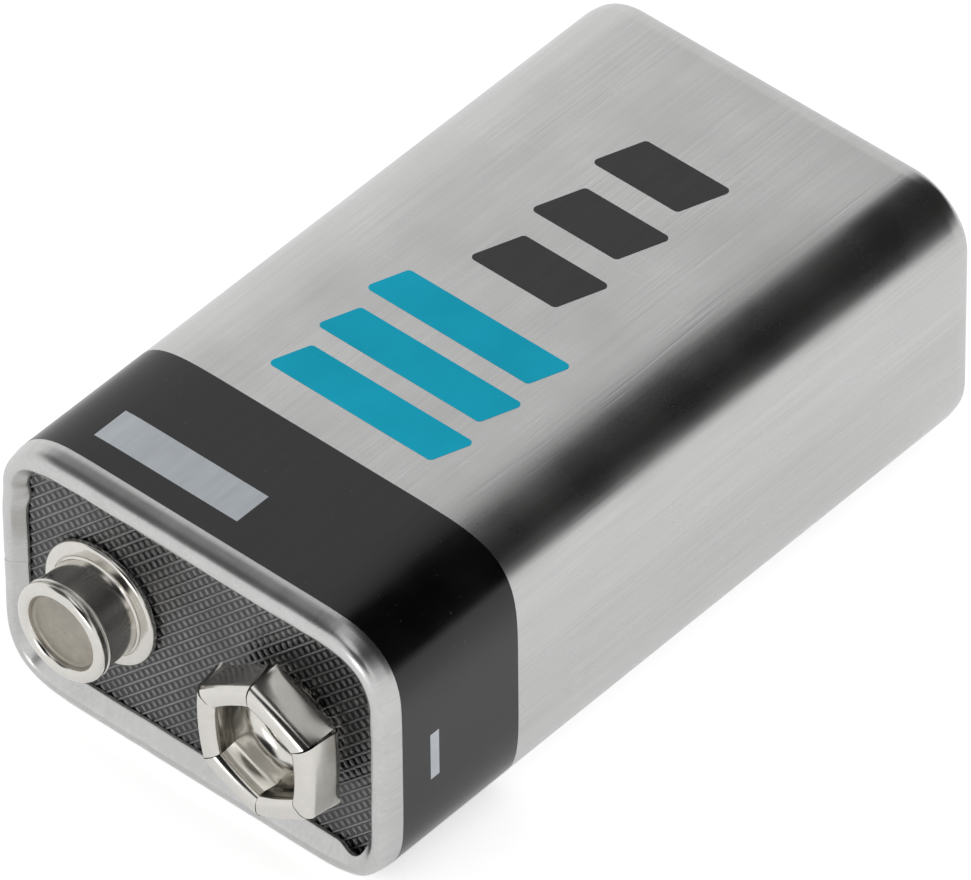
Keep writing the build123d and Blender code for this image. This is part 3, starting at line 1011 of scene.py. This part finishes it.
@dataclass
class TerminalPlate(SubAssembly):
    """Black board with a pressed lattice: thin ridges on the slant and short rungs between them."""

    wrap: Wrap = Wrap()
    back_y: float = -19.05
    relief: float = 0.045
    sheet: float = 0.099
    ridge_pitch: float = 0.556
    rung_pitch: float = 0.54
    ridge_half: float = 0.062
    rung_half: float = 0.15
    rung_share: float = 0.85
    edge_gap: float = 0.35
    bevel: float = 0.06
    covered: float = 0.55

    def inside(self, x: float, z: float) -> bool:
        """Whether a place lies within the lattice, which ends under the rim.

        Args:
            x: Place across the battery.
            z: Height over the floor.

        Returns:
            True inside.
        """
        wrap = self.wrap
        past_x = max(0.0, abs(x) - wrap.width / 2 + wrap.radius)
        past_z = max(0.0, abs(z - wrap.height / 2) - wrap.height / 2 + wrap.radius)
        return math.hypot(past_x, past_z) < wrap.radius - self.covered

    def ticks(self, pitch: float, marks: list[Flat]) -> list[Flat]:
        """Grid lines across a repeating relief.

        Args:
            pitch: Distance between repeats.
            marks: Offsets in one repeat with their share of the height.

        Returns:
            Lines as (place, share of the height), enough to cover the plate on the slant.
        """
        repeats = math.ceil((self.wrap.width + self.wrap.height) / 2 / pitch)
        return [(i * pitch + offset, share) for i in range(-repeats, repeats + 1) for offset, share in marks]

    def lattice(self) -> Mesh:
        """Closed sheet that carries the relief.

        Returns:
            Its points and faces.
        """
        ridge = self.ridge_half
        rung = self.rung_half
        gap = self.ridge_pitch - 2 * ridge
        across = [(-ridge, 0.0), (-ridge * 0.45, 0.85), (ridge * 0.45, 0.85), (ridge, 0.0),
                  (ridge + gap * 0.16, -0.6), (ridge + gap * 0.32, -1.0), (ridge + gap * 0.68, -1.0),
                  (ridge + gap * 0.84, -0.6)]
        along = [(-rung, 0.0), (-rung * 0.55, 0.8), (0.0, 1.0), (rung * 0.55, 0.8), (rung, 0.0)]
        us = self.ticks(self.rung_pitch, along)
        vs = self.ticks(self.ridge_pitch, across)

        def turned(u: float, v: float) -> Flat:
            """Place on the plate of a place in the lattice's own directions, which lie on the slant."""
            return (u - v) * math.sqrt(0.5), AXIS_HEIGHT + (u + v) * math.sqrt(0.5)

        points: list[Point] = []
        for u, rise in us:
            for v, share in vs:
                x, z = turned(u, v)
                height = share if share >= 0 else rise * self.rung_share * -share
                points.append((x, PLATE_FACE + self.relief * (1 - height), z))
        cells = set()
        for i in range(len(us) - 1):
            for j in range(len(vs) - 1):
                if self.inside(*turned((us[i][0] + us[i + 1][0]) / 2, (vs[j][0] + vs[j + 1][0]) / 2)):
                    cells.add((i, j))
        faces: Faces = []
        border: dict[int, int] = {}
        for i, j in sorted(cells):
            first = i * len(vs) + j
            ring = [first, first + 1, first + len(vs) + 1, first + len(vs)]
            faces.append(ring)
            for side, near in enumerate(((i - 1, j), (i, j + 1), (i + 1, j), (i, j - 1))):
                if near not in cells:
                    border[ring[(side + 1) % 4]] = ring[side]
        return drop_unused(*self.close_under(points, faces, border))

    def close_under(self, points: list[Point], faces: Faces, border: dict[int, int]) -> Mesh:
        """Close a sheet below its border with a wall and one flat floor.

        Args:
            points: Points of the sheet.
            faces: Its faces.
            border: The next point of the border after each one.

        Returns:
            Points and faces of the closed sheet.
        """
        loop = [next(iter(border))]
        while border[loop[-1]] != loop[0]:
            loop.append(border[loop[-1]])
        floor = len(points)
        points += [(points[number][0], PLATE_FACE + self.sheet, points[number][2]) for number in loop]
        count = len(loop)
        for i in range(count):
            j = (i + 1) % count
            faces.append((loop[i], loop[j], floor + j, floor + i))
        faces.append([floor + i for i in range(count)])
        return points, faces

    def slab(self) -> Mesh:
        """Plain board behind the lattice, with a rounded outline and small bevels.

        Returns:
            Its points and faces.
        """
        half_x = self.wrap.width / 2 - self.edge_gap
        half_z = self.wrap.height / 2 - self.edge_gap
        outline = self.wrap.outline(self.edge_gap, 10)
        front, bevel = PLATE_FACE + self.sheet, self.bevel
        sections = [(front, bevel), (front + bevel, 0.0), (self.back_y - bevel, 0.0), (self.back_y, bevel)]
        points = [(x * (1 - shrink / half_x), y, AXIS_HEIGHT + (z - AXIS_HEIGHT) * (1 - shrink / half_z))
                  for y, shrink in sections for x, z in outline]
        return points, stack_faces(len(sections), len(outline))

    def build(self) -> None:
        """Build the plate: one piece, the pressed face and the board behind it."""
        mesh = merged([self.lattice(), self.slab()])
        self.piece("pressed_plate", *mesh, self.finishes.board, ["terminal_plate"], 60.0)


@dataclass
class Turned(SubAssembly):
    """Round pieces drawn or headed on an axis."""

    segments: int = 144

    def turn(self, name: str, section: list[Flat], x: float, finish: Finish, node: str) -> None:
        """Turn a section, which starts and ends on the axis, about a terminal's axis.

        Args:
            name: Name of the piece.
            section: Points as (radius, height above the plate).
            x: Place of the axis.
            finish: The finish that it wears.
            node: The solid that it stands for.
        """
        body = section[1:-1]
        rows = len(body)
        angles = [2 * math.pi * k / self.segments for k in range(self.segments)]
        points = [on_plate(r, h, angle, x) for angle in angles for r, h in body]
        points += [on_plate(0.0, section[0][1], 0.0, x), on_plate(0.0, section[-1][1], 0.0, x)]
        top, bottom = len(points) - 2, len(points) - 1
        faces: Faces = []
        for k in range(self.segments):
            near, far = k * rows, (k + 1) % self.segments * rows
            faces += [(near + i, near + i + 1, far + i + 1, far + i) for i in range(rows - 1)]
            faces += [(near, far, top), (far + rows - 1, near + rows - 1, bottom)]
        self.piece(name, points, faces, finish, [node], 40.0)


@dataclass
class Stud(Turned):
    """Positive terminal: a drawn stud with a rolled flange, a hollow neck and a beaded head."""

    x: float = -AXIS_X
    flange: float = 3.60
    flange_thickness: float = 0.55
    neck: float = 2.74
    head: float = 2.86
    top: float = 3.35
    recess: float = 2.12
    recess_depth: float = 0.5
    lip: float = 0.29
    bead: float = 0.13
    sheet: float = 0.3
    eye: float = 1.7

    def section(self) -> list[Flat]:
        """Section from the middle of the recess over the head and flange to the underside.

        Returns:
            Points as (radius, height above the plate).
        """
        top, thick, neck, sheet = self.top, self.flange_thickness, self.neck, self.sheet
        floor = top - self.recess_depth
        return smooth_path([
            (0.0, floor, 0), (self.recess, floor, 0.1), (self.recess, top, self.lip),
            (self.head, top, self.lip), (self.head, top - 0.52, 0.07), (neck + 0.06, top - 0.53, 0.02),
            (neck + 0.06, top - 0.58, 0.02), (neck + self.bead, top - 0.61, 0.03),
            (neck + self.bead, top - 0.68, 0.03), (neck, top - 0.76, 0.05),
            (neck, thick + 0.10, 0.07), (neck + 0.09, thick + 0.02, 0.02), (neck + 0.11, thick - 0.08, 0.015),
            (neck + 0.15, thick - 0.08, 0.015), (neck + 0.18, thick, 0.03),
            (self.flange, thick - 0.05, 0.22), (self.flange, 0.02, 0.18), (self.eye, 0.02, 0),
            (self.eye, sheet, 0.02), (neck - sheet, sheet, 0.2), (neck - sheet, floor - sheet, 0.2),
            (0.0, floor - sheet, 0),
        ])

    def floor_section(self) -> list[Flat]:
        """Section of the matt skin in the recess, dished up to the lip, with a small dimple in its middle;
        its darker finish is partly painted shade.

        Returns:
            Points as (radius, height above the plate).
        """
        floor = self.top - self.recess_depth
        rise = floor + 0.24
        edge = self.recess + 0.04
        return smooth_path([
            (0.0, floor + 0.004, 0), (0.10, floor + 0.005, 0.05), (0.20, floor + 0.014, 0.1),
            (0.60, floor + 0.0145, 0), (1.00, floor + 0.014, 0), (1.40, floor + 0.0135, 0),
            (self.recess, floor + 0.012, 0.2), (self.recess + 0.012, rise, 0), (edge, rise - 0.04, 0),
            (edge, floor - 0.02, 0), (0.0, floor - 0.02, 0),
        ])

    def build(self) -> None:
        """Build the stud and the matt floor of its recess, which is darker partly as painted shade."""
        finishes, node = self.finishes, "positive_stud"
        self.turn("snap_stud", self.section(), self.x, finishes.nickel, node)
        self.turn("stud_recess_floor", self.floor_section(), self.x, finishes.matt_shaded_nickel, node)


@dataclass
class RivetHead(Turned):
    """Semi-tubular rivet whose domed head closes the socket's floor."""

    x: float = AXIS_X
    washer: float = 0.25
    head: float = 2.1
    thickness: float = 0.35
    shank: float = 1.6
    bore: float = 1.1
    bore_depth: float = 0.5
    tail: float = 2.3
    tail_at: float = -1.2

    def section(self) -> list[Flat]:
        """Section from the head's middle round the head, shank and clenched tail into the bore.

        Returns:
            Points as (radius, height above the plate).
        """
        washer, bottom = self.washer, self.washer - self.bore_depth
        top = washer + self.thickness
        end = self.tail_at - self.thickness
        return smooth_path([
            (0.0, top, 0), (0.7, top - 0.02, 1.5), (1.5, top - 0.14, 1.0),
            (self.head - 0.05, washer + 0.06, 0.1), (self.head - 0.02, washer, 0),
            (self.shank, washer, 0), (self.shank, self.tail_at, 0),
            (self.tail, self.tail_at, 0.05), (self.tail, end, 0.2), (self.bore, end, 0.25),
            (self.bore, bottom, 0.2), (0.0, bottom, 0),
        ])

    def build(self) -> None:
        """Build the rivet, whose paler nickel is partly painted highlight."""
        self.turn("socket_rivet", self.section(), self.x, self.finishes.rivet, "negative_rivet")


@dataclass
class Socket(SubAssembly):
    """Negative terminal: six petals that rise from a disc, belly in and roll outward and down."""

    x: float = AXIS_X
    sheet: float = 0.25
    eye: float = 1.65
    disc: float = 2.7
    slit: float = 0.05
    bow: float = 11.0
    cup_height: float = 1.0
    cup_rise: float = 1.4
    seams: tuple[float, ...] = (-34.0, 34.0, 94.0, 152.0, 216.0, 273.0)
    shifts: tuple[float, ...] = (-0.05, -0.08, 0.0, 0.0, 0.12, 0.1)
    columns: int = 22
    disc_segments: int = 72
    top: float = 3.35
    free_from: float = 0.62
    full_height: float = 2.6
    tilt: float = 0.03
    flare: float = 0.06
    twist: float = 0.03
    droop: float = 0.02
    curl: float = 0.34
    curl_lift: float = 0.08
    spread: float = 0.10
    seed: int = 4

    def middle_line(self) -> list[Flat]:
        """Middle of the sheet from the disc to the free edge.

        Returns:
            Points as (distance from the axis, height).
        """
        half = self.sheet / 2
        crown = self.top - half
        corners = [(1.7, half, 0), (2.95, half, 1.05), (3.0, 1.80, 0.9), (2.70, 2.55, 0.6),
                   (2.66, crown, 0.36), (3.68, crown, 0.40), (3.74, 1.12, 0)]
        return even_steps(smooth_path(corners, 7.5), 0.16)

    def sheet_sides(self, line: list[Flat]) -> tuple[list[Flat], list[Flat]]:
        """Both sides of the sheet about its middle line.

        Args:
            line: The middle line.

        Returns:
            The outside and the inside, drawn in a little at the free edge.
        """
        half = self.sheet / 2
        sides: tuple[list[Flat], list[Flat]] = ([], [])
        for i, (d, h) in enumerate(line):
            d0, h0 = line[max(0, i - 1)]
            d1, h1 = line[min(len(line) - 1, i + 1)]
            length = math.hypot(d1 - d0, h1 - h0)
            across = ((h1 - h0) / length * half, -(d1 - d0) / length * half)
            tuck = 0.75 if i == len(line) - 1 else 1.0
            sides[0].append((d - across[0] * tuck, h - across[1] * tuck))
            sides[1].append((d + across[0] * tuck, h + across[1] * tuck))
        return sides

    def petal_point(self, number: int, flat: Flat, along: float, column: float, wild: list[float]) -> Point:
        """Place of one point of a petal.

        Args:
            number: Which petal, counted round from the negative side.
            flat: Distance from the axis and height on the sheet's section.
            along: Share of the way from the disc to the free edge.
            column: Place across the petal, -1 to 1.
            wild: The petal's own tilt, flare, twist, corner curls and droop.

        Returns:
            The point in the battery's frame.
        """
        seams = [*self.seams, self.seams[0] + 360]
        middle = math.radians((seams[number] + seams[number + 1]) / 2)
        slope = math.tan(math.radians(seams[number + 1] - seams[number]) / 2)
        d, h = flat
        tilt, flare, twist, curl_left, curl_right, droop = wild
        low = max(0.0, (along - self.free_from) / (1 - self.free_from))
        cup = 0.0 if along > 0.5 else min(1.0, max(0.0, 1 - (h - self.cup_height) / self.cup_rise))
        bow = 1 / ((1 - cup) / self.bow + cup / max(d, 0.5))
        d += (self.shifts[number] + self.tilt * tilt) * min(1.0, h / self.full_height)
        d += self.flare * flare * low * low
        slit = (self.slit / 2 * math.hypot(1, slope)) * (1 - cup) + self.spread / 2 * low
        half = d * slope * 0.9
        for _ in range(8):
            half = (d - self.sag(half, low, bow)) * slope - slit
        side = column * half
        corner = abs(column) ** 9 * low ** 5 * (curl_right if column > 0 else curl_left)
        d += self.curl * corner - self.sag(side, low, bow) + self.twist * twist * column * low
        h += self.curl_lift * corner - self.droop * droop * min(1.0, h / 2)
        x = d * math.cos(middle) - side * math.sin(middle)
        z = d * math.sin(middle) + side * math.cos(middle)
        return self.x + x, PLATE_FACE - h, AXIS_HEIGHT + z

    def sag(self, side: float, low: float, bow: float) -> float:
        """How far the bowed petal falls back towards the axis beside its middle; least at its free edge."""
        side = min(abs(side), 0.95 * bow)
        return (bow - math.sqrt(bow * bow - side * side)) * (1 - 0.6 * low)

    def petal(self, number: int, luck: random.Random) -> Mesh:
        """One closed petal.

        Args:
            number: Which petal, counted round from the negative side.
            luck: Source of its small irregularities.

        Returns:
            Its points and faces.
        """
        wild = [luck.uniform(-1, 1) for _ in range(3)] + [luck.uniform(0.3, 1.0) for _ in range(3)]
        outer, inner = self.sheet_sides(self.middle_line())
        count = len(outer)
        points: list[Point] = []
        for k in range(self.columns + 1):
            column = math.sin((k / self.columns * 2 - 1) * math.pi / 2)
            for i, flat in list(enumerate(outer)) + list(enumerate(inner))[::-1]:
                points.append(self.petal_point(number, flat, i / (count - 1), column, wild))
        return points, sheet_faces(self.columns + 1, 2 * count)

    def base_disc(self) -> Mesh:
        """Disc that joins the petals, with the rivet's eye in it.

        Returns:
            Its points and faces.
        """
        section = [(self.eye, 0.02), (self.eye, self.sheet), (self.disc, self.sheet), (self.disc, 0.02)]
        turns = [2 * math.pi * k / self.disc_segments for k in range(self.disc_segments + 1)]
        points = [on_plate(r, h, angle, self.x) for angle in turns for r, h in section]
        return points, ring_faces(len(turns), len(section))

    def build(self) -> None:
        """Build the socket: one piece, the disc and its six petals."""
        luck = random.Random(self.seed)
        mesh = merged([self.base_disc(), *(self.petal(number, luck) for number in range(len(self.seams)))])
        self.piece("snap_socket", *mesh, self.finishes.nickel, ["negative_socket"], 50.0)


@dataclass
class BasePlate(SubAssembly):
    """Moulded plate in the base with a sunk panel."""

    wrap: Wrap = Wrap()
    back_y: float = 21.7
    edge_gap: float = 0.35
    edge: float = 0.05
    inset: float = 3.0
    sunk: float = 0.25
    steps: int = 12

    def build(self) -> None:
        """Build the plate: one closed piece."""
        gap, edge = self.edge_gap, self.edge
        panel = gap + self.inset
        floor = BASE_FACE - self.sunk
        sections = [
            (gap + edge, self.back_y), (gap, self.back_y + edge),
            (gap, BASE_FACE - edge), (gap + edge, BASE_FACE), (panel - 0.12, BASE_FACE),
            (panel - 0.04, BASE_FACE - 0.03), (panel + 0.04, floor + 0.03), (panel + 0.12, floor),
        ]
        points = [(x, y, z) for depth, y in sections for x, z in self.wrap.outline(depth, self.steps)]
        faces = stack_faces(len(sections), len(points) // len(sections), flip=True)
        self.piece("moulded_base_plate", points, faces, self.finishes.plastic, ["base_plate"])


@dataclass
class InnerParts(SubAssembly):
    """Pieces inside the jacket, which keep their solids and only get a finish."""

    def build(self) -> None:
        """Dress every inner solid, by its name without a number."""
        finishes = self.finishes
        wear = {
            "cell_liner": finishes.film,
            "front_card": finishes.card,
            "base_card": finishes.card,
            "positive_rivet": finishes.nickel,
            "cell": finishes.can,
            **dict.fromkeys(("positive_lead", "negative_lead", "front_link", "base_link"), finishes.strap),
        }
        for name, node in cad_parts.items():
            finish = wear.get(name.rstrip("_123456"))
            if finish:
                node.data.materials.clear()
                node.data.materials.append(finishes.get(finish))
                log.info("%s wears %s", name, finish.name)


def direction(azimuth: float, elevation: float) -> Vector:
    """Unit vector towards a place round the battery; azimuth 0 faces its terminals."""
    az, el = math.radians(azimuth), math.radians(elevation)
    return Vector((math.sin(az) * math.cos(el), -math.cos(az) * math.cos(el), math.sin(el)))


def turn_inward(item: bpy.types.Object, azimuth: float, elevation: float, distance: float,
                height: float = 0.0) -> None:
    """Stand an object off from a point over the origin and turn its face to that point.

    Args:
        item: The object.
        azimuth: Angle round the battery.
        elevation: Angle over the floor.
        distance: Distance from the point.
        height: Height of the point.
    """
    towards = direction(azimuth, elevation)
    turn = towards.to_track_quat("Z", "Y").to_matrix().to_4x4()
    item.matrix_world = Matrix.Translation((Vector((0, 0, height)) + towards * distance) * MM) @ turn


def flat_sheet(name: str, half_x: float, half_y: float, z: float = 0.0) -> bpy.types.Object:
    """Level rectangle for the studio, with sizes in metres.

    Args:
        name: Name of the object.
        half_x: Half its width.
        half_y: Half its depth.
        z: Its height.

    Returns:
        The object.
    """
    mesh = bpy.data.meshes.new(name)
    corners = [(-half_x, -half_y, z), (half_x, -half_y, z), (half_x, half_y, z), (-half_x, half_y, z)]
    mesh.from_pydata(corners, [], [(0, 1, 2, 3)])
    made = bpy.data.objects.new(name, mesh)
    bpy.context.collection.objects.link(made)
    return made


@dataclass(frozen=True)
class View:
    """Camera placed by a fit to the photograph: an angle, a distance and a long lens."""

    azimuth: float = 41.815
    elevation: float = 43.394
    roll: float = -0.586
    distance: float = 762.90
    side: float = -0.177
    rise: float = -0.590
    focal_px: float = 15394.2
    width_px: int = 971
    sensor: float = 36.0
    aim: Point = (0.0, 1.25, 8.5)

    def build(self) -> None:
        """Place the scene's camera."""
        az, roll = math.radians(self.azimuth), math.radians(self.roll)
        back = direction(self.azimuth, self.elevation)
        level = Vector((math.cos(az), math.sin(az), 0.0))
        up = back.cross(level)
        right = level * math.cos(roll) + up * math.sin(roll)
        top = up * math.cos(roll) - level * math.sin(roll)
        place = Vector(self.aim) + back * self.distance + right * self.side + top * self.rise
        data = bpy.data.cameras.new("camera")
        data.sensor_width = self.sensor
        data.lens = self.sensor * self.focal_px / self.width_px
        data.clip_start = 0.01
        camera = bpy.data.objects.new("camera", data)
        turn = Matrix((right, top, back)).transposed().to_4x4()
        camera.matrix_world = Matrix.Translation(place * MM) @ turn
        bpy.context.collection.objects.link(camera)
        bpy.context.scene.camera = camera


@dataclass(frozen=True)
class Card:
    """Upright card beside the object that metal mirrors: a dark flag or a pale reflector."""

    name: str
    azimuth: float
    elevation: float
    distance: float
    size: Flat
    level: float
    fade: float = 40.0

    def build(self) -> None:
        """Place the card facing the battery, seen in mirrors alone, with soft edges."""
        halves = [side / 2 * MM for side in self.size]
        card = flat_sheet(self.name, *halves)
        turn_inward(card, self.azimuth, self.elevation, self.distance, AXIS_HEIGHT)
        surface = Surface(self.name, (0.0, 0.0, 0.0), 0.9)
        soft = surface.noise(30.0)
        across = surface.add("ShaderNodeSeparateXYZ", {0: surface.place}).outputs
        mask = 1.0
        for axis, half in zip(across, halves):
            reach = surface.add("ShaderNodeMath", {0: axis}, operation="ABSOLUTE").outputs[0]
            mask = surface.times(surface.levels(reach, half - self.fade * MM, half, (1.0, 0.0)), mask)
        surface.set("Alpha", mask)
        surface.glow(surface.levels(soft, 0.3, 0.7, (self.level * 0.8, self.level * 1.2)))
        card.data.materials.append(surface.material)
        card.visible_camera = False
        card.visible_diffuse = False
        card.visible_shadow = False


@dataclass
class Studio:
    """White floor and sky, a soft lamp and the cards round the battery."""

    sky: float = 0.68
    floor_reach: float = 3000.0
    floor_drop: float = 0.05
    floor_lift: float = 0.6
    floor_mirror: float = 0.42
    lamp_place: Point = (10.0, 12.0, 420.0)
    lamp_size: float = 150.0
    lamp_watts: float = 0.16
    cards: tuple[Card, ...] = (
        Card("far_flag", 149.0, 40.0, 300.0, (655.0, 610.0), 0.018, 130.0),
        Card("left_flag", -70.0, 58.0, 300.0, (410.0, 300.0), 0.09, 70.0),
        Card("near_flag", 38.0, 45.0, 440.0, (500.0, 420.0), 0.02, 80.0),
    )

    def floor(self) -> None:
        """Broad white floor that keeps the battery's shadow and looks white to the camera."""
        floor = flat_sheet("floor", self.floor_reach * MM, self.floor_reach * MM, -self.floor_drop * MM)
        surface = Surface("white_floor", (0.86, 0.86, 0.86), 0.9)
        camera, mirrored = surface.rays()
        lift, mirror = surface.times(camera, self.floor_lift), surface.times(mirrored, self.floor_mirror)
        surface.glow(surface.sum(lift, mirror))
        floor.data.materials.append(surface.material)

    def world(self) -> None:
        """Even sky, white to the camera and in mirrors."""
        world = bpy.data.worlds.new("sky")
        world.use_nodes = True
        nodes = Nodes(world.node_tree)
        sky = world.node_tree.nodes["Background"].inputs
        seen = nodes.sum(*nodes.rays(), "MAXIMUM")
        nodes.feed(sky["Strength"], nodes.levels(seen, 0.0, 1.0, (self.sky, 1.0)))
        nodes.feed(sky["Color"], WHITE)
        bpy.context.scene.world = world

    def lamp(self) -> None:
        """Square soft lamp that faces the battery."""
        data = bpy.data.lights.new("key", "AREA")
        data.size = self.lamp_size * MM
        data.energy = self.lamp_watts
        lamp = bpy.data.objects.new("key", data)
        turn_inward(lamp, *self.lamp_place)
        bpy.context.collection.objects.link(lamp)

    def build(self) -> None:
        """Set everything round the battery."""
        self.floor()
        self.world()
        self.lamp()
        for card in self.cards:
            card.build()


def main() -> None:
    """Build the battery and its stage."""
    logging.basicConfig(level=logging.INFO, format="%(name)s %(message)s")
    finishes = Finishes()
    bpy.context.scene.view_settings.view_transform = "Standard"
    for group in (Jacket, Print, TerminalPlate, Stud, Socket, RivetHead, BasePlate, InnerParts):
        group(finishes).build()
        log.info("%s built", group.__name__)
    View().build()
    Studio().build()


if __name__ == "__main__":
    main()
